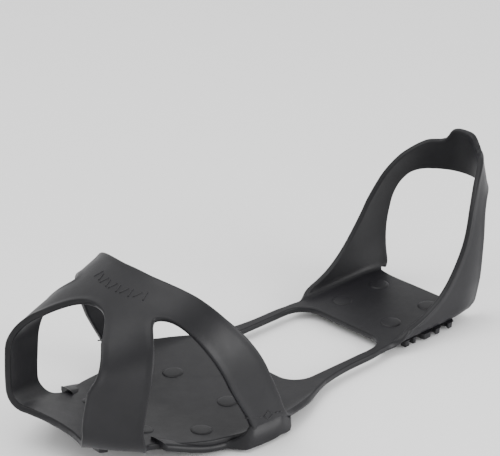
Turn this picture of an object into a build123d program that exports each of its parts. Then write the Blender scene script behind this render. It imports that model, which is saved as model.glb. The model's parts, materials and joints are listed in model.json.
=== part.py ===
from build123d import *
import math
import os

# Ice cleats: a stretchy rubber net worn over a shoe, with steel and carbide studs
# under the forefoot and the heel.
# Frame, in millimetres: the toe points to -Y, the heel to +Y, +X is the wearer's left,
# +Z is up. The stud tips stand on z = 0 and the origin is under the middle of the box.
# Stations along the shoe are drawn from a datum of their own, middle_y ahead of the
# box's middle, and each piece is moved into the frame when it is written.

os.makedirs("parts", exist_ok=True)

# ---- driving dimensions -------------------------------------------------------------
rubber = 3.0            # wall of the moulding
stud_tip = 1.0          # how far a carbide tip stands below the lugs
lug_height = 3.5        # tread lugs below the plates
plate_z = stud_tip + lug_height         # underside of the tread plates
sole_z = plate_z + rubber               # underside of the shoe sole
joint_gap = 0.3         # clear space at the strap and tab flex lines
arch_gap = 1.0          # clear space at the arch flex line
arch_y = 19.0           # the arch bends here
strap_z = 13.0          # the heel straps bend here
tab_z = 82.0            # the pull tab bends here
tab_top = 90.0          # top of the pull tab
loop_y = 130.0          # the side straps of the heel meet the band behind it here
hood_z = 66.0           # the hood starts here, above the side straps
rim = 3.0               # the straps start this far above the plate's inner face
rim_lip = 1.5           # lip of the plate around the toe opening
bridge_y = (-11.0, 54.0)    # the opening between the arch strips
bridge_hole = 32.5          # half its width
far = 100.0             # reach of a cutting solid past the moulding
middle_y = 5.0          # station of the middle of the box

# Shoe shape at the forefoot: distance along the shoe, half width, top and underside.
toe_stations = (
    (-158, 8, 48, 35.0),
    (-154, 17, 53, 32.0),
    (-148, 24, 58.5, 28.5),
    (-139, 31, 64, 24.0),
    (-126, 38, 69, 19.5),
    (-111, 44.5, 73.5, 15.0),
    (-91, 51, 79.5, 10.5),
    (-71, 55.5, 87, 8.0),
    (-48, 57, 98, sole_z),
    (-21, 53, 110, sole_z),
    (arch_y, 45, 118, sole_z),
)
side_wall = 30.0        # upright part of the shoe's side above its underside
roundness = 0.62        # fullness of the arch over the toes

# Shoe shape at the heel: height, half width and rearmost point.
heel_stations = (
    (sole_z, 36, 137),
    (26, 37.5, 143),
    (45, 36.5, 147),
    (62, 33, 149),
    (78, 28, 149),
    (95, 23, 146.5),
)
heel_round = 38.0       # length of the rounded end of the heel
heel_front = 17.0       # the heel form starts here

# Studs: (x, y) of each, on one side or on the middle line.
stud_pairs = ((20, -100), (36, -76), (22, -47), (19, 71), (19, 99))
jacket_flange = (4.2, 1.2)      # radius and thickness of the jacket's hidden flange
jacket_radius = 2.8
pin_radius = 1.2
pin_length = 4.6
boss_radius = 6.0


# ---- the shoe form, used to shape the moulding --------------------------------------
def toe_section(y, half_width, top, under, grow):
    """One upright outline of the forefoot form, made larger all round by grow."""
    w = half_width + grow
    low = under - grow
    high = top + grow
    corner = 7.0 + grow
    shoulder = under + min(side_wall, 0.72 * (top - under))
    rise = (high - shoulder) * roundness
    with BuildSketch(Plane.XZ.offset(-y)) as outline:
        with BuildLine():
            Line((0, low), (w - corner, low))
            RadiusArc((w - corner, low), (w, low + corner), -corner)
            Line((w, low + corner), (w, shoulder))
            Bezier((w, shoulder), (w, shoulder + rise), (w * roundness, high), (0, high))
            Line((0, high), (0, low))
        make_face()
        mirror(about=Plane.YZ)
    return outline.sketch


def heel_section(z, half_width, back, grow):
    """One level outline of the heel form, made larger by grow except at its front."""
    w = half_width + grow
    length = heel_round + grow
    middle = back - heel_round
    with BuildSketch(Plane.XY.offset(z)) as outline:
        with BuildLine():
            Line((0, heel_front), (w, heel_front))
            Line((w, heel_front), (w, middle))
            Bezier((w, middle), (w, middle + length * 0.58), (w * 0.58, middle + length),
                   (0, middle + length))
            Line((0, middle + length), (0, heel_front))
        make_face()
        mirror(about=Plane.YZ)
    return outline.sketch


def side_view(curve, corners):
    """A wide solid whose side view is a smooth curve closed by straight lines."""
    with BuildPart() as solid:
        with BuildSketch(Plane.YZ):
            with BuildLine():
                Spline(*curve)
                Polyline(curve[-1], *corners, curve[0])
            make_face()
        extrude(amount=far, both=True)
    return solid.part


def below_line(points):
    """Everything under a line of straight pieces drawn in side view."""
    with BuildPart() as solid:
        with BuildSketch(Plane.YZ):
            with BuildLine():
                Polyline(*points, (points[-1][0], -20), (points[0][0], -20), points[0])
            make_face()
        extrude(amount=far, both=True)
    return solid.part


def slab(low, high, y_from=-200.0, y_to=200.0):
    """Everything between two heights and two stations along the shoe."""
    with BuildPart() as solid:
        with BuildSketch(Plane.XY.offset(low)):
            with Locations((0, (y_from + y_to) / 2)):
                Rectangle(2 * far, y_to - y_from)
        extrude(amount=high - low)
    return solid.part


def one_side(sign):
    """Everything on one side of the middle plane."""
    with BuildPart() as solid:
        with BuildSketch():
            with Locations((sign * far / 2, 0)):
                Rectangle(far, 400)
        extrude(amount=200, both=True)
    return solid.part


with BuildPart() as forefoot_shell:
    for y, half_width, top, under in toe_stations:
        add(toe_section(y, half_width, top, under, rubber))
    loft(ruled=True)
    with BuildPart(mode=Mode.PRIVATE) as toe_form:
        for y, half_width, top, under in toe_stations:
            add(toe_section(y, half_width, top, under, 0))
        loft(ruled=True)
    add(toe_form.part, mode=Mode.SUBTRACT)

with BuildPart() as heel_shell:
    add(heel_section(plate_z, heel_stations[0][1] - 1, heel_stations[0][2] - 1, rubber))
    for z, half_width, back in heel_stations:
        add(heel_section(z, half_width, back, rubber))
    loft()
    with BuildPart(mode=Mode.PRIVATE) as heel_form:
        for z, half_width, back in heel_stations:
            add(heel_section(z, half_width, back, 0))
        loft()
    add(heel_form.part, mode=Mode.SUBTRACT)


# ---- cutting solids -----------------------------------------------------------------
# The rubber kept over the toes: everything ahead of the hood's and rear straps' edge.
upper_band = side_view(
    ((-36, 2), (-44, 23), (-49.8, 38.5), (-57.5, 56), (-67, 70.5), (-74, 79), (-80, 85)),
    ((-80, 140), (-175, 140), (-175, 2)),
)

# The D-shaped openings at the sides of the forefoot, right through from side to side.
side_opening = side_view(
    ((-63, 8), (-68.5, 27), (-76, 46), (-84, 65), (-94, 74.5), (-102.5, 68), (-110.5, 54),
     (-115, 36), (-118, 18)),
    ((-91, 11),),
)

# The plate's own zone: its underside curves up at the toe, and its rim follows.
underside = [(y, under) for y, half_width, top, under in toe_stations]
plate_zone = below_line([(y, under + rim) for y, under in underside])
opening_floor = below_line([(y, under + rim_lip) for y, under in underside])

# The rounded toe opening, seen from above, over the plate that runs under the toe.
with BuildPart() as toe_opening:
    with BuildSketch(Plane.XY):
        with BuildLine():
            Spline((-31.5, -142), (-23, -122.5), (0, -107.8), (23, -122.5), (31.5, -142))
            Polyline((31.5, -142), (31.5, -175), (-31.5, -175), (-31.5, -142))
        make_face()
    extrude(amount=150)
    add(opening_floor, mode=Mode.SUBTRACT)

# The sheet under the foot as seen from above: the plates, with a rounded front, and the
# two arch strips.
with BuildPart() as tread_outline:
    with BuildSketch(Plane.XY):
        with BuildLine():
            Spline((0, -136), (14, -137.2), (28, -141))
            Polyline((28, -141), (60, -141), (60, -33))
            Spline((60, -33), (52, -19), (42, 1), (38.5, arch_y), (38, 39), (36.5, 57), (42, 79))
            Polyline((42, 79), (60, 79), (60, 200), (0, 200), (0, -136))
        make_face()
        mirror(about=Plane.YZ)
        with Locations((0, sum(bridge_y) / 2)):
            RectangleRounded(2 * bridge_hole, bridge_y[1] - bridge_y[0], 12,
                             mode=Mode.SUBTRACT)
    extrude(amount=150)

# The heel strap in side view: it sweeps up from the plate and closes behind the heel.
with BuildPart() as heel_band:
    with BuildSketch(Plane.YZ):
        with BuildLine():
            Spline((45, 7), (61, 10.7), (78, 16.8), (95, 29.5), (107, 45), (117, 62), (128, 75),
                   (140, tab_z))
            Polyline((140, tab_z), (170, tab_z), (170, 64), (147, 64))
            Spline((147, 64), (134, 63), (127, 53), (122, 32), (119.8, 13))
            RadiusArc((119.8, 13), (112.3, plate_z - 0.5), 9)
            Polyline((112.3, plate_z - 0.5), (45, plate_z - 0.5), (45, 7))
        make_face()
    extrude(amount=far, both=True)


# ---- the rubber net over the forefoot -----------------------------------------------
def save(piece, name):
    """Move a finished piece into the frame, label it and write it as its own node."""
    placed = Pos(0, -middle_y, 0) * piece
    placed.label = name
    export_step(placed, "parts/" + name + ".step")


with BuildPart() as front_net:
    add(forefoot_shell.part)
    add(upper_band, mode=Mode.INTERSECT)
    add(side_opening, mode=Mode.SUBTRACT)
    add(toe_opening.part, mode=Mode.SUBTRACT)
    add(plate_zone, mode=Mode.SUBTRACT)

with BuildPart() as toe_hood:
    add(front_net.part)
    add(slab(hood_z, 150), mode=Mode.INTERSECT)
save(toe_hood.part, "toe_hood")

for side, sign in (("left", 1), ("right", -1)):
    for strap, y_from, y_to in (("mid", -160, -95), ("rear", -95, 0)):
        with BuildPart() as side_strap:
            add(front_net.part)
            add(slab(0, hood_z, y_from, y_to), mode=Mode.INTERSECT)
            add(one_side(sign), mode=Mode.INTERSECT)
        save(side_strap.part, side + "_" + strap + "_strap")



# ---- studs ---------------------------------------------------------------------------
studs = [(sign * x, y) for x, y in stud_pairs for sign in (1, -1)]


def under_at(y):
    """Height of the shoe's underside at a station along the shoe."""
    for (y0, z0), (y1, z1) in zip(underside, underside[1:]):
        if y0 <= y <= y1:
            return z0 + (z1 - z0) * (y - y0) / (y1 - y0)
    return sole_z


def jacket_outline(radius):
    """Half outline of a jacket, or of the pocket it is moulded into."""
    flange_radius, flange_thickness = jacket_flange
    top = rubber - 0.8
    shelf = top - flange_thickness
    foot = -lug_height - 0.5
    Polyline((0, top), (flange_radius, top), (flange_radius, shelf), (radius, shelf),
             (radius, foot + 0.5), (radius - 0.5, foot), (0, foot), (0, top))


def jacket_solid(place):
    """A jacket without its pin hole."""
    with BuildPart() as solid:
        with BuildSketch(place):
            with BuildLine():
                jacket_outline(jacket_radius)
            make_face()
        revolve(axis=Axis(place.origin, (0, 0, 1)))
    return solid.part


jackets = []
for number, (x, y) in enumerate(studs, start=1):
    base = under_at(y) - rubber
    place = Plane(origin=(x, y, base), x_dir=(1, 0, 0), z_dir=(0, -1, 0))
    solid = jacket_solid(place)
    jackets.append(solid)
    tip_z = base - lug_height - stud_tip
    with BuildPart() as stud_jacket:
        add(solid)
        with BuildSketch(Plane.XY.offset(tip_z)):
            with Locations((x, y)):
                Circle(pin_radius)
        extrude(amount=pin_length, mode=Mode.SUBTRACT)
    save(stud_jacket.part, f"stud_jacket_{number:02d}")

    with BuildPart() as carbide_pin:
        with BuildSketch(Plane.XY.offset(tip_z)):
            with Locations((x, y)):
                Circle(pin_radius)
        extrude(amount=pin_length)
        chamfer(carbide_pin.edges().group_by(Axis.Z)[0], 0.35)
    save(carbide_pin.part, f"carbide_pin_{number:02d}")


# ---- tread plates with their lugs ----------------------------------------------------
def half_width_at(y):
    """Half width of the tread under the shoe at a station."""
    for (y0, w0, *rest0), (y1, w1, *rest1) in zip(toe_stations, toe_stations[1:]):
        if y0 <= y <= y1:
            return w0 + (w1 - w0) * (y - y0) / (y1 - y0)
    return heel_stations[0][1]


def lug_places(rows, step, rear_limit):
    """Staggered lug positions that keep clear of the studs and of the plate's edge."""
    places = []
    for row, y in enumerate(rows):
        edge = min(half_width_at(y), half_width_at(y + 3)) - 8
        offset = step / 2 if row % 2 else 0
        for column in range(-5, 6):
            x = column * step + offset
            clear = all(math.hypot(x - sx, y - sy) > 10.5 for sx, sy in studs)
            if abs(x) <= edge and y < rear_limit and clear:
                places.append((x, y))
    return places


def tread_features(places, stud_places):
    """Lugs and stud bosses, whose tops reach 1 mm into the plate."""
    with BuildPart() as features:
        for x, y in places:
            with BuildSketch(Plane.XY.offset(under_at(y) - rubber - lug_height)):
                with Locations((x, y)):
                    Rectangle(6.4, 5.4)
            extrude(amount=lug_height + 1, taper=-4)
        for x, y in stud_places:
            with BuildSketch(Plane.XY.offset(under_at(y) - rubber - lug_height + 0.5)):
                with Locations((x, y)):
                    Circle(boss_radius - 0.6)
            extrude(amount=lug_height + 0.5, taper=-6)
    return features.part


front_rows = [-129 + 12 * row for row in range(9)]
heel_rows = [61 + 12 * row for row in range(5)]

with BuildPart() as forefoot_plate:
    add(forefoot_shell.part)
    add(plate_zone, mode=Mode.INTERSECT)
    add(toe_opening.part, mode=Mode.SUBTRACT)
    add(side_opening, mode=Mode.SUBTRACT)
    with BuildPart(mode=Mode.PRIVATE) as rear_rim:
        add(slab(sole_z, 40, -200, 200))
        add(upper_band, mode=Mode.SUBTRACT)
    add(rear_rim.part, mode=Mode.SUBTRACT)
    add(tread_outline.part, mode=Mode.INTERSECT)
    add(slab(0, 40, -200, bridge_y[0]), mode=Mode.INTERSECT)
    add(tread_features(lug_places(front_rows, 12, -29), [p for p in studs if p[1] < 0]))
    for jacket in jackets[:6]:
        add(jacket, mode=Mode.SUBTRACT)
save(forefoot_plate.part, "forefoot_plate")

with BuildPart() as heel_plate:
    add(heel_shell.part)
    add(heel_band.part, mode=Mode.INTERSECT)
    with BuildPart(mode=Mode.PRIVATE) as heel_sheet:
        add(heel_shell.part)
        add(slab(plate_z, sole_z, bridge_y[1], 115), mode=Mode.INTERSECT)
    add(heel_sheet.part)
    add(slab(0, strap_z - joint_gap, bridge_y[1], 200), mode=Mode.INTERSECT)
    add(tread_outline.part, mode=Mode.INTERSECT)
    add(tread_features(lug_places(heel_rows, 12, 111), [p for p in studs if p[1] > 0]))
    for jacket in jackets[6:]:
        add(jacket, mode=Mode.SUBTRACT)
save(heel_plate.part, "heel_plate")

# The arch strips: front halves move with the forefoot, rear halves with the heel.
with BuildPart() as arch_sheet:
    add(forefoot_shell.part)
    add(heel_shell.part)
    add(slab(plate_z, sole_z, bridge_y[0], bridge_y[1]), mode=Mode.INTERSECT)
    add(tread_outline.part, mode=Mode.INTERSECT)

for side, sign in (("left", 1), ("right", -1)):
    for half, y_from, y_to in (
        ("front", bridge_y[0], arch_y - arch_gap / 2),
        ("rear", arch_y + arch_gap / 2, bridge_y[1]),
    ):
        with BuildPart() as arch_strip:
            add(arch_sheet.part)
            add(slab(plate_z, sole_z, y_from, y_to), mode=Mode.INTERSECT)
            add(one_side(sign), mode=Mode.INTERSECT)
        save(arch_strip.part, f"{side}_arch_strip_{half}")


# ---- heel strap and pull tab ---------------------------------------------------------
with BuildPart() as heel_loop:
    add(heel_shell.part)
    add(heel_band.part, mode=Mode.INTERSECT)
    add(slab(strap_z, 200), mode=Mode.INTERSECT)

for side, sign in (("left", 1), ("right", -1)):
    with BuildPart() as heel_side:
        add(heel_loop.part)
        add(slab(0, 200, 0, loop_y), mode=Mode.INTERSECT)
        add(one_side(sign), mode=Mode.INTERSECT)
    save(heel_side.part, side + "_heel_strap")

with BuildPart() as heel_back:
    add(heel_loop.part)
    add(slab(0, 200, loop_y, 200), mode=Mode.INTERSECT)
save(heel_back.part, "heel_strap_back")

with BuildPart() as pull_tab:
    add(heel_shell.part)
    with BuildSketch(Plane.XZ.offset(-127)):
        with BuildLine():
            Line((-13, tab_z + joint_gap), (13, tab_z + joint_gap))
            Line((13, tab_z + joint_gap), (9.5, tab_top - 4))
            RadiusArc((9.5, tab_top - 4), (5, tab_top), -5)
            Line((5, tab_top), (-5, tab_top))
            RadiusArc((-5, tab_top), (-9.5, tab_top - 4), -5)
            Line((-9.5, tab_top - 4), (-13, tab_z + joint_gap))
        make_face()
    extrude(amount=-40, mode=Mode.INTERSECT)
save(pull_tab.part, "pull_tab")
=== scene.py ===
import json
import math

import bmesh
import bpy
import numpy as np
from mathutils import Matrix, Vector
from mathutils.geometry import delaunay_2d_cdt
from mathutils.kdtree import KDTree

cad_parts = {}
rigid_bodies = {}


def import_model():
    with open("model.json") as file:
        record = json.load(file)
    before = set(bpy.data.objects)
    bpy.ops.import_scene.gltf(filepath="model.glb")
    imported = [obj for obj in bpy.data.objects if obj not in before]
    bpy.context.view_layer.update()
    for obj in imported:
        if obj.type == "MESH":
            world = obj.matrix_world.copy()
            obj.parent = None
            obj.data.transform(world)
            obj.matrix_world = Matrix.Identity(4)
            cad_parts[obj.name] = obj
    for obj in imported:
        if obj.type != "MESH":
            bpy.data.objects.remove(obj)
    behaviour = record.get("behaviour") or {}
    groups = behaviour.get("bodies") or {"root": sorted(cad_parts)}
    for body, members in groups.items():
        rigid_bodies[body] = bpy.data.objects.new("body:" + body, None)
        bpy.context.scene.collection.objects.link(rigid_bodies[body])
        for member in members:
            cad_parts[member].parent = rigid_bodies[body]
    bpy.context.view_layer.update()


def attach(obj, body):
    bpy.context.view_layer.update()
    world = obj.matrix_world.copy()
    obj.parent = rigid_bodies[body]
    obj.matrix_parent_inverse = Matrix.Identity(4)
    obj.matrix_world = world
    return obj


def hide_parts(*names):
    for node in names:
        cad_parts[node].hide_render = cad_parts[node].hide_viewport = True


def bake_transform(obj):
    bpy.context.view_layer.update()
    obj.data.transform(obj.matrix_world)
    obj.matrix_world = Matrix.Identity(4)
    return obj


# Shoe ice cleats. The stretchy rubber net is one moulding, drawn here as smooth sheets
# that follow the shape of a shoe; the metal studs are the CAD model's own pieces.
# Shapes are worked out in millimetres and written as metres. The toe points to -Y, +Z is up.
# Stations along the shoe are counted from a datum ahead of the frame's origin, as in the
# CAD model, and every mesh and place is moved by MIDDLE into the frame.

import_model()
MM = 0.001                      # one millimetre in metres
MIDDLE = Vector((0, -5, 0))     # from the datum of the stations to the frame's origin

# ---- sizes of the moulding ----------------------------------------------------------
WALL = 3.0              # thickness of the rubber
ROUND = 0.85            # rounding of its cut edges
BEAD_HEIGHT = 0.35      # the raised bead along the edges
BEAD_FROM, BEAD_TO = 0.6, 4.2           # where the bead peaks and ends, from the edge
SOLE = 7.5              # underside of the shoe at the flat of the forefoot and at the heel
LUG_HEIGHT = 3.5
HEEL_FROM = 30.0        # the tread behind this station belongs to the heel
ARCH_FRONT, ARCH_REAR = 3.0, 35.0       # the arch strips run between these stations
HOLE_FRONT, HOLE_REAR = -11.0, 54.0     # the opening between the strips
HOLE_HALF, HOLE_CORNER = 32.5, 12.0
STRIP_FRONT, STRIP_REAR = 41.0, 38.2    # the strips' outer edges at those stations
STRAP_CUT, TAB_CUT = 42.0, 113.0        # v where the heel strap and its tab begin
STRAP_FRONT, STRAP_REAR = 64.5, 119.8   # stations where the heel strap's foot ends
TAB_HALF = 12.4         # half width of the tab at its foot
SPACING = 1.9           # size of the mesh inside a sheet
FINE = 1.1              # and along its edges
SAME = 1e-6             # closer than this counts as the same place

# Forefoot: station along the shoe, half width, top, underside.
TOE_STATIONS = (
    (-158, 8, 48, 35.0), (-154, 17, 53, 32.0), (-148, 24, 58.5, 28.5), (-139, 31, 64, 24.0),
    (-126, 38, 69, 19.5), (-111, 44.5, 73.5, 15.0), (-91, 51, 79.5, 10.5),
    (-71, 55.5, 87, 8.0), (-48, 57, 98, 7.5), (-21, 53, 110, 7.5), (19, 45, 118, 7.5),
)
# Heel: height, half width, rearmost point.
HEEL_STATIONS = (
    (7.5, 36, 137), (26, 37.5, 143), (45, 36.5, 147), (62, 33, 149), (78, 28, 149),
    (95, 23, 146.5),
)


# ---- curves -------------------------------------------------------------------------
def smooth_table(rows):
    """A smooth function through the rows: the first number is where, the rest are what."""
    rows = np.array(rows, float)
    x, values = rows[:, 0], rows[:, 1:]
    step = np.diff(x)
    slope = np.diff(values, axis=0) / step[:, None]
    tangent = np.zeros_like(values)
    tangent[0], tangent[-1] = slope[0], slope[-1]
    before, after = slope[:-1], slope[1:]
    same_way = before * after > 0
    w1 = (2 * step[1:] + step[:-1])[:, None]
    w2 = (step[1:] + 2 * step[:-1])[:, None]
    with np.errstate(divide="ignore", invalid="ignore"):
        mean = (w1 + w2) / (w1 / before + w2 / after)
    tangent[1:-1] = np.where(same_way, mean, 0)

    def at(where):
        where = np.clip(np.asarray(where, float), x[0], x[-1])
        i = np.clip(np.searchsorted(x, where, side="right") - 1, 0, len(x) - 2)
        t = ((where - x[i]) / step[i])[..., None]
        h = step[i][..., None]
        value = ((1 + 2 * t) * (1 - t) ** 2 * values[i] + t * (1 - t) ** 2 * h * tangent[i]
                 + t * t * (3 - 2 * t) * values[i + 1] + t * t * (t - 1) * h * tangent[i + 1])
        return [value[..., k] for k in range(values.shape[1])]

    return at


def bezier(t, *points):
    """A cubic curve through four control values, each a number or an array."""
    a, b, c, d = points
    s = 1 - t
    return s ** 3 * a + 3 * s * s * t * b + 3 * s * t * t * c + t ** 3 * d


def spline(points, step=FINE):
    """A smooth curve through points, sampled about every step, by centripetal Catmull-Rom."""
    p = np.array(points, float)
    p = np.vstack([2 * p[0] - p[1], p, 2 * p[-1] - p[-2]])
    out = []
    for i in range(1, len(p) - 2):
        knots = [0.0]
        for k in range(3):
            knots.append(knots[-1] + np.linalg.norm(p[i + k] - p[i + k - 1]) ** 0.5)
        count = max(2, int(np.ceil(np.linalg.norm(p[i + 1] - p[i]) / step)))
        for t in np.linspace(knots[1], knots[2], count, endpoint=False):
            level = [p[i - 1 + k] for k in range(4)]
            for size in range(1, 4):
                level = [
                    ((knots[k + size] - t) * level[k] + (t - knots[k]) * level[k + 1])
                    / (knots[k + size] - knots[k])
                    for k in range(4 - size)
                ]
            out.append(level[0])
    out.append(p[-2])
    return np.array(out)


def smoothstep(low, high, value):
    """0 below low, 1 above high, and a smooth rise between them."""
    t = np.clip((value - low) / (high - low), 0, 1)
    return t * t * (3 - 2 * t)


def bisect(low, high, is_before):
    """The number between low and high where is_before stops being true."""
    for _ in range(40):
        middle = (low + high) / 2
        if is_before(middle):
            low = middle
        else:
            high = middle
    return (low + high) / 2


# ---- the surfaces that the rubber follows -------------------------------------------
class Surface:
    """A surface point(u, v) in millimetres, half way through the rubber's wall.

    u runs along the shoe and v runs from the middle line under the sole outwards,
    round the corner and up the side."""

    def frame_at(self, uv):
        """Points, outward normals and the two tangents at an array of (u, v)."""
        e = 0.05
        u, v = uv[:, 0], uv[:, 1]
        point = self.point(u, v)
        du = (self.point(u + e, v) - self.point(u - e, v)) / (2 * e)
        dv = (self.point(u, v + e) - self.point(u, v - e)) / (2 * e)
        normal = np.cross(du, dv)
        length = np.linalg.norm(normal, axis=1, keepdims=True)
        return point, normal / np.maximum(length, 1e-9), du, dv

    def solve(self, u, target, axis, low, high):
        """v between low and high where the point's coordinate reaches target."""
        sign = np.sign(self.coordinate(u, high, axis) - self.coordinate(u, low, axis))
        return bisect(low, high,
                      lambda v: sign * (self.coordinate(u, v, axis) - target) < 0)

    def coordinate(self, u, v, axis):
        """One coordinate of the point at (u, v)."""
        return float(self.point(np.array([u]), np.array([v]))[0, axis])


class Forefoot(Surface):
    """Under the sole, round its corner, up the side and over the top; u is the station."""

    FLAT, CORNER, SIDE, TOP = 46.0, 60.0, 82.0, 152.0     # v at the end of each stretch
    RADIUS = 7.0                            # of the shoe's lower corner
    SHOULDER, SHOULDER_SHARE = 30.0, 0.72   # the side's height: at most, and as a share
    RISE, NARROW = 0.66, 0.68               # how full the arch over the top is
    table = staticmethod(smooth_table(TOE_STATIONS))

    def point(self, u, v):
        half_width, top, under = self.table(u)
        w = half_width + WALL / 2
        low = under - WALL / 2
        high = top + WALL / 2
        r = self.RADIUS + WALL / 2
        shoulder = under + np.minimum(self.SHOULDER, self.SHOULDER_SHARE * (top - under))
        rise = (high - shoulder) * self.RISE
        flat = np.clip(v / self.FLAT, -1, 1)
        turn = np.clip((v - self.FLAT) / (self.CORNER - self.FLAT), 0, 1) * math.pi / 2
        side = np.clip((v - self.CORNER) / (self.SIDE - self.CORNER), 0, 1)
        arch = np.clip((v - self.SIDE) / (self.TOP - self.SIDE), 0, 1.2)
        x = np.where(v < self.SIDE, flat * (w - r) + r * np.sin(turn),
                     bezier(arch, w, w, w * self.NARROW, 0 * w))
        z = np.where(v < self.SIDE,
                     low + r * (1 - np.cos(turn)) + side * (shoulder - low - r),
                     bezier(arch, shoulder, shoulder + rise, high, high))
        return np.stack([x, u + 0 * x, z], 1)

    def side(self, y, z):
        """(u, v) on the side at a station and a height."""
        return y, self.solve(y, z, 2, self.FLAT + 0.5, self.TOP - 0.5)

    def top(self, x, y):
        """(u, v) over the top, at a distance from the middle and a station."""
        return y, (self.TOP if x == 0 else self.solve(y, x, 0, self.SIDE, self.TOP))

    def under(self, x, y):
        """(u, v) under the sole, at a distance from the middle and a station."""
        return y, (0.0 if x == 0 else self.solve(y, x, 0, 0, self.CORNER))


class Heel(Surface):
    """Under the heel, round its corner and straight up; u runs back and round the heel."""

    FLAT, CORNER = 34.0, 40.0          # v at the end of the flat and of the corner
    START = 17.0                       # station where u begins
    STRAIGHT, BACK = 82.0, 139.0       # u at the end of the side and at the middle behind
    ROUND_LENGTH = 38.0                # the round back along the shoe
    FULLNESS = 0.58                    # how full the round back is
    WAIST = (38, 64)                   # stations between which the waist turns into the heel
    table = staticmethod(smooth_table(HEEL_STATIONS))

    def outline(self, u, z):
        """x and y of the heel's side and back at a height."""
        half_width, back = self.table(z)
        widen = 2.5 * (1 - smoothstep(*self.WAIST, self.START + u))
        w = half_width + WALL / 2 + widen
        middle = back - self.ROUND_LENGTH
        length = self.ROUND_LENGTH + WALL / 2
        full = self.FULLNESS
        along = self.START + u * (middle - self.START) / self.STRAIGHT
        t = np.clip((u - self.STRAIGHT) / (self.BACK - self.STRAIGHT), 0, 1.2)
        x = np.where(u < self.STRAIGHT, w, bezier(t, w, w, w * full, 0 * w))
        y = np.where(u < self.STRAIGHT, along,
                     bezier(t, middle, middle + length * full, middle + length, middle + length))
        return x, y

    def point(self, u, v):
        low = SOLE - WALL / 2
        station = self.START + u
        r = 0.5 + 3.5 * smoothstep(*self.WAIST, station)
        turn = np.clip((v - self.FLAT) / (self.CORNER - self.FLAT), 0, 1) * math.pi / 2
        rise = np.maximum(v - self.CORNER, 0)
        z = low + r * (1 - np.cos(turn)) + rise
        x, y = self.outline(u, z)
        flat = np.clip(v / self.FLAT, -1, 1)
        x = np.where(v < self.CORNER, flat * (x - r) + r * np.sin(turn), x)
        return np.stack([x, y, z], 1)

    def along(self, y, v):
        """u on the side where the surface reaches station y at v."""
        return bisect(0.0, self.BACK, lambda u: self.coordinate(u, v, 1) < y)

    def across(self, x, v):
        """u round the back where the surface is x from the middle."""
        return bisect(self.STRAIGHT, self.BACK, lambda u: self.coordinate(u, v, 0) > x)

    def height(self, u, z):
        """v where the side reaches a height."""
        return self.solve(u, z, 2, self.FLAT - 1, self.CORNER + 90)

    def side(self, y, z):
        """(u, v) on the side at a station and a height, found by turns."""
        u = y - self.START
        for _ in range(6):
            v = self.height(u, z)
            u = self.along(y, v)
        return u, v

    def back(self, x, z):
        """(u, v) round the back, at a distance from the middle and a height."""
        u = self.BACK
        for _ in range(4):
            v = self.height(u, z)
            u = self.BACK if x == 0 else self.across(x, v)
        return u, v

    def under(self, x, y):
        """(u, v) under the heel, at a distance from the middle and a station."""
        u, v = y - self.START, 0.0
        for _ in range(6):
            v = 0.0 if x == 0 else self.solve(u, x, 0, 0, self.CORNER)
            u = self.along(y, v)
        return u, v


class Flat(Surface):
    """The level plane of the arch strips: u is the station and v the distance outwards."""

    def point(self, u, v):
        return np.stack([v, u, 0 * u + SOLE - WALL / 2], 1)


# ---- sheets of rubber ---------------------------------------------------------------
# Distances from a cut edge of the rows of points beside it, close where it is rounded.
RIM_ROWS = (0.04, 0.13, 0.3, 0.55, 0.85, 1.4, 2.1, 2.9, 3.6, 4.3)
ROW_GAP = 0.6           # least distance between those rows and the points inside the sheet
CROWDED = 0.93          # a row's point nearer to an edge than this share is left out


def inside(points, loops):
    """Which points lie inside the first loop and outside the others."""
    result = np.zeros(len(points), bool)
    px, py = points[:, 0], points[:, 1]
    for loop in loops:
        x1, y1 = loop[:, 0], loop[:, 1]
        x2, y2 = np.roll(x1, -1), np.roll(y1, -1)
        for a, b, c, d in zip(x1, y1, x2, y2):
            if b != d:
                crosses = ((b > py) != (d > py)) & (px < (c - a) * (py - b) / (d - b) + a)
                result ^= crosses
    return result


def rim_height(d):
    """Half the wall at a distance d from a cut edge, with its rounding."""
    near = np.clip(d, 0, ROUND)
    return WALL / 2 - ROUND + np.sqrt(np.maximum(ROUND ** 2 - (ROUND - near) ** 2, 0))


def bead(d):
    """Extra height of the raised bead that follows the edges on the outside."""
    t = np.clip((d - BEAD_FROM) / (BEAD_TO - BEAD_FROM), 0, 1)
    return BEAD_HEIGHT * np.where(d > BEAD_FROM, (1 - t) ** 2 * (1 + 2 * t), d / BEAD_FROM)


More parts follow.
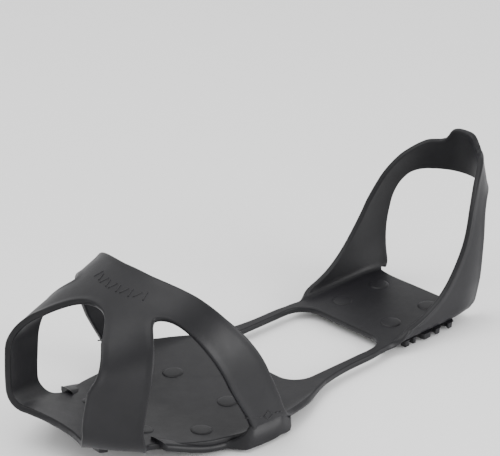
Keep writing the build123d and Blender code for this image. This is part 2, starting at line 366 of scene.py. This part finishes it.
class Sheet:
    """One piece of the moulding, cut out of a surface by its outlines."""

    def __init__(self, surface, outer, holes=()):
        """outer is a list of (kind, points): edge, seam (the middle line) or cut.
        holes is a list of closed loops of points."""
        self.surface = surface
        self.loops = [np.array([p for _, points in outer for p in points[:-1]])]
        self.loop_kinds = [[kind for kind, points in outer for _ in points[:-1]]]
        for hole in holes:
            self.loops.append(np.array(hole[:-1]))
            self.loop_kinds.append(["edge"] * (len(hole) - 1))
        self.fixed = self.fixed_lines(outer)

    @staticmethod
    def fixed_lines(outer):
        """The straight seams and cuts: which coordinate they hold, and its value."""
        lines = []
        for kind, points in outer:
            if kind != "edge":
                points = np.array(points)
                axis = int(np.ptp(points[:, 1]) < np.ptp(points[:, 0]))
                lines.append((axis, points[0, axis]))
        return lines

    def edge_tree(self):
        """A search tree of close samples along all real edges, in space."""
        samples = []
        for loop, kinds in zip(self.loops, self.loop_kinds):
            ends = np.roll(loop, -1, axis=0)
            for p, q, kind in zip(loop, ends, kinds):
                if kind == "edge":
                    for t in np.linspace(0, 1, 8, endpoint=False):
                        samples.append(p + (q - p) * t)
                    samples.append(q)
        points = self.surface.point(*np.array(samples).T)
        tree = KDTree(len(points))
        for i, p in enumerate(points):
            tree.insert(p, i)
        tree.balance()
        return tree

    def rim_points(self):
        """Rows of points that run beside the real edges, inwards."""
        rows = []
        for number, (loop, kinds) in enumerate(zip(self.loops, self.loop_kinds)):
            area = 0.5 * np.sum(loop[:, 0] * np.roll(loop[:, 1], -1)
                                - loop[:, 1] * np.roll(loop[:, 0], -1))
            turn = 1 if (area > 0) == (number == 0) else -1
            ahead, behind = np.roll(loop, -1, axis=0), np.roll(loop, 1, axis=0)
            on_edge = np.array([k == "edge" for k in kinds])
            was_edge = np.roll(on_edge, 1)
            start = np.where((on_edge & ~was_edge)[:, None], loop, behind)
            end = np.where((was_edge & ~on_edge)[:, None], loop, ahead)
            use = on_edge | was_edge
            tangent = (end - start)[use]
            base = loop[use]
            _, normal, du, dv = self.surface.frame_at(base)
            along = du * tangent[:, :1] + dv * tangent[:, 1:]
            along /= np.linalg.norm(along, axis=1, keepdims=True)
            inward = np.cross(normal, along) * turn
            ends = ~(on_edge & was_edge)[use]
            for distance in RIM_ROWS:
                moved = []
                for b, a1, a2, w, is_end in zip(base, du, dv, inward, ends):
                    jacobian = np.stack([a1, a2], 1)
                    step = np.linalg.lstsq(jacobian, w * distance, rcond=None)[0]
                    q = b + step
                    if is_end:
                        for axis, value in self.fixed:
                            if abs(b[axis] - value) < SAME:
                                q[axis] = value
                    moved.append(q)
                rows.append((distance, np.array(moved)))
        return rows

    def build(self, name):
        """The closed mesh object of this sheet, with its mirror image welded on."""
        tree = self.edge_tree()

        def distance_to_edge(uv):
            points = self.surface.point(*uv.T)
            return np.array([tree.find(p)[2] for p in points])

        boundary = np.vstack(self.loops)
        cloud = [boundary]
        for distance, row in self.rim_points():
            row = row[inside(row, self.loops) | self.on_fixed(row)]
            if len(row):
                near = distance_to_edge(row)
                cloud.append(row[near > distance * CROWDED])
        low, high = boundary.min(0), boundary.max(0)
        gu = np.arange(low[0], high[0], SPACING * 0.9)
        gv = np.arange(low[1], high[1], SPACING)
        grid = np.array([(u, v + (i % 2) * SPACING / 2) for i, u in enumerate(gu) for v in gv])
        grid = grid[inside(grid, self.loops)]
        clear = RIM_ROWS[-1] + ROW_GAP
        grid = grid[distance_to_edge(grid) > clear]
        for axis, value in self.fixed:
            grid = grid[np.abs(grid[:, axis] - value) > ROW_GAP]
            line = np.arange(low[1 - axis], high[1 - axis], SPACING)
            on_line = np.full((len(line), 2), value)
            on_line[:, 1 - axis] = line
            probe = on_line.copy()
            for nudge in (0.01, -0.01):
                probe[:, axis] = value + nudge
                keep = inside(probe, self.loops)
                near = distance_to_edge(on_line)
                cloud.append(on_line[keep & (near > clear)])
        cloud.append(grid)
        points = np.vstack(cloud)
        edges, offset = [], 0
        for loop in self.loops:
            n = len(loop)
            edges += [(offset + i, offset + (i + 1) % n) for i in range(n)]
            offset += n
        verts, _, faces, *_ = delaunay_2d_cdt(
            [Vector(p) for p in points], edges, [], 0, 1e-4)
        uv = np.array([tuple(v) for v in verts])
        triangles = np.array([f for f in faces if len(f) == 3])
        triangles = triangles[inside(uv[triangles].mean(1), self.loops)]
        return self.solid(name, uv, triangles, distance_to_edge(uv))

    def on_fixed(self, row):
        """Which points lie on a seam or a cut of this sheet."""
        result = np.zeros(len(row), bool)
        for axis, value in self.fixed:
            result |= np.abs(row[:, axis] - value) < SAME
        low, high = self.loops[0].min(0) - SAME, self.loops[0].max(0) + SAME
        return result & np.all((row >= low) & (row <= high), axis=1)

    def solid(self, name, uv, triangles, d):
        """Both faces, the edges and the caps at the cuts; d is the distance to an edge."""
        point, normal, *_ = self.surface.frame_at(uv)
        seam = [(axis, value) for (axis, value) in self.fixed
                if abs(self.surface_x(axis, value)) < 1e-3]
        for axis, value in seam:
            on = np.abs(uv[:, axis] - value) < SAME
            point[on, 0] = 0
            normal[on, 0] = 0
        normal /= np.linalg.norm(normal, axis=1, keepdims=True)
        half = rim_height(d)[:, None]
        outer = point + normal * (half + bead(d)[:, None])
        inner = point - normal * half
        used = np.unique(triangles)
        bm = bmesh.new()
        top = {i: bm.verts.new(outer[i] * MM) for i in used}
        bottom = {i: bm.verts.new(inner[i] * MM) for i in used}
        border = {}     # the edges, in order, that only one triangle has
        for a, b, c in triangles:
            bm.faces.new((top[a], top[b], top[c]))
            bm.faces.new((bottom[c], bottom[b], bottom[a]))
            for p, q in ((a, b), (b, c), (c, a)):
                if (q, p) in border:
                    del border[(q, p)]
                else:
                    border[(p, q)] = True
        cuts = [line for line in self.fixed if line not in seam]
        caps = []
        for p, q in border:
            if self.on_lines(uv, p, q, seam):
                continue
            face = bm.faces.new((top[q], top[p], bottom[p], bottom[q]))
            if self.on_lines(uv, p, q, cuts):
                caps.append(face)
        for face in bm.faces:
            face.smooth = True
        for face in caps:
            face.smooth = False
            for edge in face.edges:
                edge.smooth = False
        bmesh.ops.reverse_faces(bm, faces=add_mirror_image(bm))
        middle = [v for v in bm.verts if abs(v.co.x) < SAME]
        bmesh.ops.remove_doubles(bm, verts=middle, dist=2 * SAME)
        bmesh.ops.recalc_face_normals(bm, faces=bm.faces[:])
        return mesh_object(name, bm)

    def surface_x(self, axis, value):
        """x on a fixed line, to tell the middle line from a cut."""
        loop = self.loops[0]
        on = loop[np.abs(loop[:, axis] - value) < SAME]
        return np.abs(self.surface.point(*on.T)[:, 0]).max()

    @staticmethod
    def on_lines(uv, p, q, lines):
        """Whether the edge between points p and q lies on one of the fixed lines."""
        return any(abs(uv[p, a] - v) < SAME and abs(uv[q, a] - v) < SAME for a, v in lines)


def place(x, y, z):
    """A point given by its station, as metres in the frame."""
    return (Vector((x, y, z)) + MIDDLE) * MM


def add_mirror_image(bm):
    """Copy everything in a bmesh to the other side of x = 0, and give the copy's faces."""
    copy = bmesh.ops.duplicate(bm, geom=bm.verts[:] + bm.edges[:] + bm.faces[:])["geom"]
    verts = [g for g in copy if isinstance(g, bmesh.types.BMVert)]
    bmesh.ops.scale(bm, vec=(-1, 1, 1), verts=verts)
    return [g for g in copy if isinstance(g, bmesh.types.BMFace)]


def mesh_object(name, bm):
    """Move a bmesh into the frame, write it as a new object and drop the bmesh."""
    bmesh.ops.translate(bm, vec=MIDDLE * MM, verts=bm.verts)
    mesh = bpy.data.meshes.new(name)
    bm.to_mesh(mesh)
    bm.free()
    obj = bpy.data.objects.new(name, mesh)
    bpy.context.scene.collection.objects.link(obj)
    return obj


# ---- outlines of the sheets ---------------------------------------------------------
forefoot = Forefoot()
heel = Heel()


def straight(start, end, step=SPACING):
    """Evenly spaced points of a straight line in (u, v)."""
    start, end = np.array(start, float), np.array(end, float)
    count = max(2, int(np.ceil(np.linalg.norm(end - start) / step)) + 1)
    return np.array([start + (end - start) * t for t in np.linspace(0, 1, count)])


def hole_front_corner():
    """The rounded front corner of the arch opening, from the strip to the plate."""
    steps = 12
    points = []
    for k in range(steps + 1):
        angle = math.pi / 2 * k / steps
        x = HOLE_HALF - HOLE_CORNER + HOLE_CORNER * math.cos(angle)
        y = HOLE_FRONT + HOLE_CORNER - HOLE_CORNER * math.sin(angle)
        points.append(forefoot.under(x, y))
    return points


def forefoot_sheet():
    """Toe hood, mid and rear straps and the forefoot plate: the outlines of one half."""
    f = forefoot
    front = spline([
        f.under(0, -135.5), f.under(9, -136), f.under(17, -137.6), f.under(24, -140),
        f.side(-142, 26), f.side(-142.6, 33), f.side(-141, 45), f.side(-136, 57),
        f.top(23.5, -123), f.top(13, -112), f.top(6, -108.6), f.top(0, -107.8)])
    rear = spline([
        f.top(0, -80), f.top(10, -79.8), f.top(22, -77.8), f.top(36, -73.4),
        f.side(-67, 70.5), f.side(-57.5, 56), f.side(-49.8, 38.5), f.side(-44, 23),
        f.side(-40.2, 13.5), f.under(56, -34.5), f.under(53, -25), f.under(49.5, -16),
        f.under(44.5, -6), f.under(STRIP_FRONT, ARCH_FRONT)])
    hole = [f.under(HOLE_HALF, ARCH_FRONT)] + hole_front_corner() + [f.under(0, HOLE_FRONT)]
    hole = spline(hole)
    window_edge = [
        f.side(-62, 11.5), f.side(-64.5, 18.5), f.side(-69.5, 29), f.side(-76.5, 46),
        f.side(-82, 59), f.side(-86.5, 68.5), f.side(-91, 73.5), f.side(-96, 74),
        f.side(-101, 70), f.side(-106, 63), f.side(-110.5, 54), f.side(-115, 38),
        f.side(-117, 25), f.side(-115.5, 18.5), f.under(38, -111), f.under(37.8, -105.5),
        f.under(41, -98), f.under(45, -89), f.under(48, -80), f.under(49.8, -72),
        f.under(52.5, -66.5)]
    window = spline(window_edge + window_edge[:1])
    return Sheet(f, [
        ("edge", front),
        ("seam", straight(f.top(0, -107.8), f.top(0, -80))),
        ("edge", rear),
        ("cut", straight(rear[-1], hole[0])),
        ("edge", hole),
        ("seam", straight(f.under(0, HOLE_FRONT), f.under(0, -135.5))),
    ], [window])


def arch_strips():
    """The pair of strips that join the forefoot to the heel under the arch."""
    outer = spline([(ARCH_FRONT, STRIP_FRONT), (12, 39.3), (22, 38.3), (ARCH_REAR, STRIP_REAR)])
    return Sheet(Flat(), [
        ("edge", outer),
        ("cut", straight((ARCH_REAR, STRIP_REAR), (ARCH_REAR, HOLE_HALF))),
        ("edge", straight((ARCH_REAR, HOLE_HALF), (ARCH_FRONT, HOLE_HALF), FINE)),
        ("cut", straight((ARCH_FRONT, HOLE_HALF), (ARCH_FRONT, STRIP_FRONT))),
    ])


def strap_foot():
    """The front and rear ends of the cut between the heel plate and its strap."""
    return [(heel.along(y, STRAP_CUT), STRAP_CUT) for y in (STRAP_FRONT, STRAP_REAR)]


def heel_plate_sheet():
    """The heel's tread plate, turned up at its sides to meet the strap."""
    h = heel
    front_end, rear_end = strap_foot()
    steps = 8
    side = spline([
        h.under(STRIP_REAR, ARCH_REAR), h.under(37.4, 45), h.under(36.9, 53),
        h.side(57.5, 7.5), h.side(61, 9.8), front_end])
    rear = spline([
        rear_end, h.side(119.3, 9.8), h.side(117.8, 7.6), h.under(34, 115.6),
        h.under(28.5, 113.4), h.under(20, 112.5), h.under(8, 112.5), h.under(0, 112.5)])
    hole = spline([h.under(0, HOLE_REAR), h.under(10, HOLE_REAR)]
                  + [h.under(HOLE_HALF - HOLE_CORNER * (1 - math.sin(k * math.pi / (2 * steps))),
                             HOLE_REAR - HOLE_CORNER * (1 - math.cos(k * math.pi / (2 * steps))))
                     for k in range(steps + 1)]
                  + [h.under(HOLE_HALF, ARCH_REAR)])
    return Sheet(h, [
        ("edge", side),
        ("cut", straight(front_end, rear_end)),
        ("edge", rear),
        ("seam", straight(rear[-1], hole[0])),
        ("edge", hole),
        ("cut", straight(hole[-1], side[0])),
    ])


def heel_strap_sheet():
    """The strap that rises from the heel plate and closes behind the heel."""
    h = heel
    front_end, rear_end = strap_foot()
    front = spline([
        front_end, h.side(70, 13.6), h.side(78, 16.8), h.side(87, 22.3), h.side(95, 29.5),
        h.side(107, 45), h.side(117, 62), h.side(128, 75), h.side(138, 81), h.back(19, 82),
        h.back(14.6, 82.1), (h.across(TAB_HALF, TAB_CUT), TAB_CUT)])
    rear = spline([
        h.back(0, 64), h.back(11, 64), h.back(20, 64), h.side(140, 64), h.side(134, 62.3),
        h.side(128.5, 56), h.side(124.5, 44), h.side(122, 32), h.side(120.5, 20), rear_end])
    return Sheet(h, [
        ("edge", front),
        ("cut", straight(front[-1], (h.BACK, TAB_CUT))),
        ("seam", straight((h.BACK, TAB_CUT), rear[0])),
        ("edge", rear),
        ("cut", straight(rear_end, front_end)),
    ])


def tab_sheet():
    """The pull tab that stands on the strap's top edge behind the heel."""
    h = heel
    side = spline([
        (h.across(TAB_HALF, TAB_CUT), TAB_CUT), h.back(11, 84.6), h.back(9.6, 86.8),
        h.back(7.6, 88.9), h.back(4.6, 89.9), h.back(2.2, 90), h.back(0, 90)])
    return Sheet(h, [
        ("edge", side),
        ("seam", straight(side[-1], (h.BACK, TAB_CUT))),
        ("cut", straight((h.BACK, TAB_CUT), side[0])),
    ])


# ---- tread: lugs and the rubber round the studs -------------------------------------
def rounded(corners, radius, steps=3):
    """A closed outline with each corner replaced by a short curve."""
    corners = [np.array(c, float) for c in corners]
    out = []
    for i, corner in enumerate(corners):
        before, after = corners[i - 1] - corner, corners[(i + 1) % len(corners)] - corner
        p = corner + before / np.linalg.norm(before) * radius
        q = corner + after / np.linalg.norm(after) * radius
        for t in np.linspace(0, 1, steps + 1):
            out.append((1 - t) ** 2 * p + 2 * t * (1 - t) * corner + t * t * q)
    return out


BLOCK = rounded([(-3.2, -2.7), (3.2, -2.7), (3.2, 2.7), (-3.2, 2.7)], 0.9)
CHEVRON = rounded(
    [(-3.4, -2.7), (0, -0.9), (3.4, -2.7), (3.4, 0.5), (0, 2.8), (-3.4, 0.5)], 0.5)
# The lugs along the outer edge of the heel plate.
EDGE_LUGS = ((34.5, 66, rounded([(-2, -1.6), (2, -1.6), (2, 1.6), (-2, 1.6)], 0.6)),
             (34.5, 71.5, rounded([(-2, -1.2), (2, -1.2), (2, 1.2), (-2, 1.2)], 0.5)),
             (34.5, 80, BLOCK), (34.5, 88.5, CHEVRON), (34.5, 98, CHEVRON))
# Height above the lug's lower end, and the outline's size there.
LUG_PROFILE = ((0, 0.84), (0.12, 0.92), (0.4, 0.97), (LUG_HEIGHT - 0.5, 1.05),
               (LUG_HEIGHT - 0.1, 1.14), (LUG_HEIGHT + 0.5, 1.3))
DISC = LUG_HEIGHT + WALL + 0.6      # a stud's disc stands 0.6 above the plate
# Radius and height above the lugs' lower end, from the disc's middle round the collar.
BOSS_PROFILE = ((0.02, DISC), (4.0, DISC), (4.9, DISC - 0.12), (5.5, DISC - 0.45),
                (6.3, LUG_HEIGHT + 0.6), (5.75, LUG_HEIGHT - 0.3), (5.4, LUG_HEIGHT - 1.2),
                (5.2, 0.6), (4.95, 0.15), (4.5, 0), (3.3, 0), (3.0, 0.2), (2.9, 0.6),
                (2.9, LUG_HEIGHT + 0.5), (0.02, LUG_HEIGHT + 0.5))
BOSS_SIDES = 32
# The studs of one half: distance from the middle, and station.
STUDS = ((20, -100), (36, -76), (22, -47), (19, 71), (19, 99))
PITCH = 12              # between the lugs of a row, and between rows
STUD_CLEAR = 10.5       # from a stud to the middle of the nearest lug, at least
RIB_FRONT, RIB_REAR = -104.0, -36.6


def stack(bm, rings):
    """Skin a stack of rings of points (mm), and close its two ends."""
    rows = [[bm.verts.new(Vector(p) * MM) for p in ring] for ring in rings]
    for low, high in zip(rows, rows[1:]):
        for i in range(len(low)):
            j = (i + 1) % len(low)
            bm.faces.new((low[i], low[j], high[j], high[i]))
    bm.faces.new(rows[0][::-1])
    bm.faces.new(rows[-1])


def under_at(y):
    """Height and slope of the shoe's underside at a station."""
    if y > HEEL_FROM:
        return SOLE, 0.0
    height = [float(Forefoot.table(y + e)[2]) for e in (-1, 0, 1)]
    return height[1], (height[2] - height[0]) / 2


def add_lug(bm, x, y, outline):
    """One lug, flared at its root, that follows the slope of the plate."""
    under, slope = under_at(y)
    foot = under - WALL - LUG_HEIGHT
    stack(bm, [[(x + px * size, y + py * size, foot + rise + slope * py * size)
                for px, py in outline] for rise, size in LUG_PROFILE])


def add_boss(bm, x, y):
    """A rubber collar round a stud, with a low disc on top of the plate over its flange."""
    under, slope = under_at(y)
    foot = under - WALL - LUG_HEIGHT
    rings = []
    for radius, rise in BOSS_PROFILE:
        ring = []
        for k in range(BOSS_SIDES):
            angle = 2 * math.pi * k / BOSS_SIDES
            dx, dy = radius * math.cos(angle), radius * math.sin(angle)
            ring.append((x + dx, y + dy, foot + rise + slope * dy))
        rings.append(ring)
    stack(bm, rings)


def add_edge_rib(bm, side):
    """The thick rib under the plate's outer edge, which is also the rear strap's foot.

    outset is how far it stands out of the shoe's side, high how far it has risen up the
    strap (0 to 1), and depth how far it reaches below the plate."""
    stations = np.concatenate([[RIB_FRONT], np.arange(RIB_FRONT + 1, -37), [RIB_REAR]])
    rings = []
    for y in stations:
        half_width, _, under = [float(n) for n in Forefoot.table(y)]
        outset = -4.6 + 7.55 * float(smoothstep(-73, -65, y))
        high = float(smoothstep(-72, -61, y)) * (1 - 0.6 * float(smoothstep(-44, -37.5, y)))
        depth = 3.3 * float(smoothstep(-106, -80, y)) - 0.7 * math.exp(-((y + 45) / 2.2) ** 2)
        if y in (RIB_FRONT, RIB_REAR):
            depth -= 0.8
            outset -= 0.7
        foot = under - WALL - depth
        outer = half_width + outset
        section = [
            (-1.6, WALL + 1.2 + 9.3 * high), (-0.12, WALL + 0.4 + 9.9 * high), (0.0, 1.4),
            (-0.25, 0.6), (-1.1, 0), (-9.0, 0), (-9.7, 0.6), (-10.2, WALL + 0.6),
            (-7.0, WALL + 1.2), (-4.2, WALL + 1.2 + 0.9 * high),
            (-2.6, WALL + 1.2 + 2.4 * high)]
        rings.append([(side * (outer + dx), y, foot + dz) for dx, dz in section])
    stack(bm, rings)


def lug_reach(y):
    """How far from the middle a lug may stand at a station, clear of the edges."""
    if y > HEEL_FROM:
        return 28.0
    if y < -118:
        margin = 8.0        # ahead of the windows
    elif y < -68:
        margin = 18.0       # beside the windows
    else:
        margin = 11.5       # inside the rear straps' feet
    return float(Forefoot.table(y)[0]) - margin


def build_tread(name, first_row, row_count):
    """All lugs and stud collars of one plate, and what its outer edges carry."""
    bm = bmesh.new()
    at_heel = first_row > 0
    studs = [(side * x, y) for x, y in STUDS for side in (1, -1) if (y > 0) == at_heel]
    for number in range(row_count):
        y = first_row + PITCH * number
        shift = PITCH // 2 * (number % 2)
        reach = lug_reach(y)
        for column in range(-6, 7):
            x = column * PITCH + shift
            clear = all(math.hypot(x - sx, y - sy) > STUD_CLEAR for sx, sy in studs)
            if abs(x) <= reach and clear:
                add_lug(bm, x, y, CHEVRON if number % 2 else BLOCK)
    for x, y in studs:
        add_boss(bm, x, y)
    for side in (1, -1):
        if at_heel:
            for x, y, outline in EDGE_LUGS:
                add_lug(bm, side * x, y, outline)
        else:
            add_edge_rib(bm, side)
    bmesh.ops.recalc_face_normals(bm, faces=bm.faces[:])
    for face in bm.faces:
        face.smooth = len(face.verts) == 4
    return mesh_object(name, bm)


# ---- raised marks on the outside ----------------------------------------------------
RIDGE_SINK = 0.25       # how deep a ridge's foot is sunk into the rubber


def add_ridge(bm, surface, path, width, height, closed=False):
    """A low rounded ridge along a path of (u, v) on a surface's outer face."""
    path = np.array(path, float)
    if closed:
        path = np.vstack([path, path[:1]])
    fine = [path[0]]
    for p, q in zip(path, path[1:]):
        count = max(1, int(np.ceil(np.linalg.norm(q - p) / 1.2)))
        fine += [p + (q - p) * k / count for k in range(1, count + 1)]
    point, normal, *_ = surface.frame_at(np.array(fine))
    along = np.gradient(point, axis=0)
    if closed:
        along[0] = along[-1] = along[0] + along[-1]
    along /= np.linalg.norm(along, axis=1, keepdims=True)
    across = np.cross(normal, along)
    base = point + normal * WALL / 2
    section = [(math.cos(a) * width / 2, -RIDGE_SINK + (height + RIDGE_SINK) * math.sin(a))
               for a in np.linspace(0, math.pi, 7)]
    rings = [[b + w * s + n * h for s, h in section] for b, w, n in zip(base, across, normal)]
    stack(bm, rings)


def build_marks():
    """A plain ornament on the hood and a line, a diamond and dashes on the rear straps."""
    f = forefoot
    bm = bmesh.new()
    for number, x in enumerate((2.2, 6.2, 10.2, 14.2, 18.2)):
        lean = 0.9 if number % 2 else -0.9
        y = -94.6 + 0.012 * x * x
        add_ridge(bm, f, [f.top(x - lean, y - 2.3), f.top(x + lean, y + 2.3)], 0.9, 0.3)
    add_ridge(bm, f, [f.side(-66.5, 20.4), f.side(-57, 17.3)], 0.7, 0.22)
    add_ridge(bm, f, [f.side(-55.4, 17.1), f.side(-52.6, 19.2), f.side(-49.8, 16.4),
                      f.side(-52.6, 14.4)], 0.8, 0.28, closed=True)
    for y in (-47.4, -44.8, -42.2):
        z = 16.2 - 0.25 * (y + 47.4)
        add_ridge(bm, f, [f.side(y - 0.7, z + 0.15), f.side(y + 0.7, z - 0.15)], 0.8, 0.28)
    add_mirror_image(bm)
    bmesh.ops.recalc_face_normals(bm, faces=bm.faces[:])
    for face in bm.faces:
        face.smooth = len(face.verts) == 4
    return mesh_object("moulded_marks", bm)


# ---- materials ----------------------------------------------------------------------
class Nodes:
    """Short forms for building a material's node tree."""

    def __init__(self, name):
        self.material = bpy.data.materials.new(name)
        self.material.use_nodes = True
        self.tree = self.material.node_tree
        self.shader = self.tree.nodes["Principled BSDF"]
        self.place = self.add("ShaderNodeTexCoord").outputs["Object"]

    def add(self, kind):
        return self.tree.nodes.new(kind)

    def link(self, source, target):
        self.tree.links.new(source, target)

    def noise(self, scale, detail=4.0, roughness=0.55):
        """Noise that stays in place on the object; scale is in cycles per metre."""
        node = self.add("ShaderNodeTexNoise")
        node.inputs["Scale"].default_value = scale
        node.inputs["Detail"].default_value = detail
        node.inputs["Roughness"].default_value = roughness
        self.link(self.place, node.inputs["Vector"])
        return node.outputs["Fac"]

    def ramp(self, source, *stops):
        """A colour ramp through stops of (position, colour)."""
        node = self.add("ShaderNodeValToRGB")
        elements = node.color_ramp.elements
        while len(elements) < len(stops):
            elements.new(0.5)
        for element, (position, color) in zip(elements, stops):
            element.position = position
            element.color = (*color, 1)
        self.link(source, node.inputs["Fac"])
        return node.outputs["Color"]

    def spread(self, source, low, high):
        """Map a noise onto the numbers between low and high."""
        node = self.add("ShaderNodeMapRange")
        node.inputs["From Min"].default_value = 0.25
        node.inputs["From Max"].default_value = 1.1
        node.inputs["To Min"].default_value = low
        node.inputs["To Max"].default_value = high
        self.link(source, node.inputs["Value"])
        return node.outputs["Result"]

    def bump(self, height, strength, distance, normal=None):
        """A bump on top of another normal, if one is given."""
        node = self.add("ShaderNodeBump")
        node.inputs["Strength"].default_value = strength
        node.inputs["Distance"].default_value = distance
        self.link(height, node.inputs["Height"])
        if normal is not None:
            self.link(normal, node.inputs["Normal"])
        return node.outputs["Normal"]

    def set(self, **values):
        """Constant values of the shader's sockets."""
        for key, value in values.items():
            self.shader.inputs[key.replace("_", " ")].default_value = value


def rubber_material():
    """Satin black moulded rubber: fine grain, faint flow marks and dusty scuffs."""
    m = Nodes("rubber")
    m.set(IOR=1.46, Sheen_Weight=0.02, Sheen_Roughness=0.5, Specular_IOR_Level=0.3)
    m.set(Sheen_Tint=(0.86, 0.84, 1.0, 1))
    m.link(m.ramp(m.noise(38, 5), (0.3, (0.0042, 0.0042, 0.0052)), (0.5, (0.0062, 0.0061, 0.0074)),
                  (0.78, (0.0098, 0.0095, 0.011))), m.shader.inputs["Base Color"])
    m.link(m.spread(m.noise(90, 6, 0.7), 0.40, 0.56), m.shader.inputs["Roughness"])
    grain = m.bump(m.noise(2600, 2), 0.16, 0.0002)
    flow = m.bump(m.noise(70, 3), 0.12, 0.0012, grain)
    m.link(flow, m.shader.inputs["Normal"])
    return m.material


def steel_material():
    """Turned steel of the stud jackets, with fine scratches and darker patches."""
    m = Nodes("stud_steel")
    m.set(Metallic=1.0)
    m.link(m.ramp(m.noise(420, 5, 0.65), (0.3, (0.30, 0.30, 0.31)), (0.6, (0.52, 0.52, 0.53)),
                  (0.8, (0.62, 0.61, 0.60))), m.shader.inputs["Base Color"])
    m.link(m.spread(m.noise(900, 4), 0.24, 0.44), m.shader.inputs["Roughness"])
    m.link(m.bump(m.noise(1500, 3), 0.2, 0.0001), m.shader.inputs["Normal"])
    return m.material


def carbide_material():
    """Dark sintered carbide with a grainy, slightly chipped face."""
    m = Nodes("carbide")
    m.set(Metallic=1.0)
    m.link(m.ramp(m.noise(1400, 4, 0.7), (0.35, (0.09, 0.09, 0.10)), (0.7, (0.2, 0.2, 0.215))),
           m.shader.inputs["Base Color"])
    m.link(m.spread(m.noise(1100, 3), 0.3, 0.5), m.shader.inputs["Roughness"])
    m.link(m.bump(m.noise(3000, 3), 0.35, 0.00012), m.shader.inputs["Normal"])
    return m.material


# ---- assemble -----------------------------------------------------------------------
rubber = rubber_material()


def finish_rubber(piece):
    """Give a piece the rubber's material and slot."""
    piece.data.materials.append(rubber)


net = forefoot_sheet().build("forefoot_net")
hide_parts("toe_hood", "left_mid_strap", "right_mid_strap", "left_rear_strap",
            "right_rear_strap", "forefoot_plate")
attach(net, "forefoot")
finish_rubber(net)

strips = arch_strips().build("arch_strips")
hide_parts("left_arch_strip_front", "left_arch_strip_rear",
            "right_arch_strip_front", "right_arch_strip_rear")
finish_rubber(strips)
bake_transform(strips)

plate = heel_plate_sheet().build("heel_plate_sheet")
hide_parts("heel_plate")
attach(plate, "heel")
finish_rubber(plate)

strap = heel_strap_sheet().build("heel_strap_sheet")
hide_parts("left_heel_strap", "right_heel_strap", "heel_strap_back")
finish_rubber(strap)
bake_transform(strap)

tab = tab_sheet().build("pull_tab_sheet")
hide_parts("pull_tab")
finish_rubber(tab)
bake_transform(tab)

tread = build_tread("forefoot_tread", -129, 9)
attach(tread, "forefoot")
finish_rubber(tread)
tread = build_tread("heel_tread", 61, 5)
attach(tread, "heel")
finish_rubber(tread)

marks = build_marks()
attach(marks, "forefoot")
finish_rubber(marks)

steel, carbide = steel_material(), carbide_material()
for number in range(1, 11):
    bpy.data.objects[f"stud_jacket_{number:02d}"].material_slots[0].material = steel
    bpy.data.objects[f"carbide_pin_{number:02d}"].material_slots[0].material = carbide


# ---- camera, light and floor --------------------------------------------------------
def add_camera():
    """A long lens that looks down on the toe and one side."""
    azimuth, elevation, roll = math.radians(50.17), math.radians(24.33), math.radians(-2.98)
    distance, lens = 1100 * MM, 154.8
    target = place(-6, -3.2, 80.3)
    back = Vector((math.sin(azimuth) * math.cos(elevation),
                   -math.cos(azimuth) * math.cos(elevation), math.sin(elevation)))
    data = bpy.data.cameras.new("camera")
    data.lens = lens
    data.sensor_width = 36.0
    data.clip_start, data.clip_end = 0.05, 20
    camera = bpy.data.objects.new("camera", data)
    camera.location = target + back * distance
    camera.rotation_euler = (back.to_track_quat("Z", "Y").to_matrix()
                             @ Matrix.Rotation(roll, 3, "Z")).to_euler()
    bpy.context.scene.collection.objects.link(camera)
    bpy.context.scene.camera = camera


def add_light(name, position, size, power):
    """A square area light, its position in millimetres, aimed at the middle of the net."""
    data = bpy.data.lights.new(name, "AREA")
    data.energy = power
    data.size = size
    light = bpy.data.objects.new(name, data)
    light.location = Vector(position) * MM
    aim = Vector((0, 0, 40)) * MM - light.location
    light.rotation_euler = aim.to_track_quat("-Z", "Y").to_euler()
    bpy.context.scene.collection.objects.link(light)


def add_floor():
    """A plain light floor under the studs."""
    bm = bmesh.new()
    bmesh.ops.create_grid(bm, x_segments=2, y_segments=2, size=4.0)
    floor = mesh_object("floor", bm)
    material = bpy.data.materials.new("floor")
    material.use_nodes = True
    shader = material.node_tree.nodes["Principled BSDF"]
    shader.inputs["Base Color"].default_value = (0.93, 0.93, 0.93, 1)
    shader.inputs["Roughness"].default_value = 0.7
    floor.data.materials.append(material)


add_camera()
add_floor()
add_light("key", (1150, 450, 330), 0.8, 17)
add_light("top", (-250, -350, 1300), 1.0, 11)
add_light("fill", (900, -1000, 500), 1.2, 3)
world = bpy.data.worlds.new("studio")
bpy.context.scene.world = world
world.use_nodes = True
world.node_tree.nodes["Background"].inputs["Color"].default_value = (1, 1, 1, 1)
world.node_tree.nodes["Background"].inputs["Strength"].default_value = 1.1
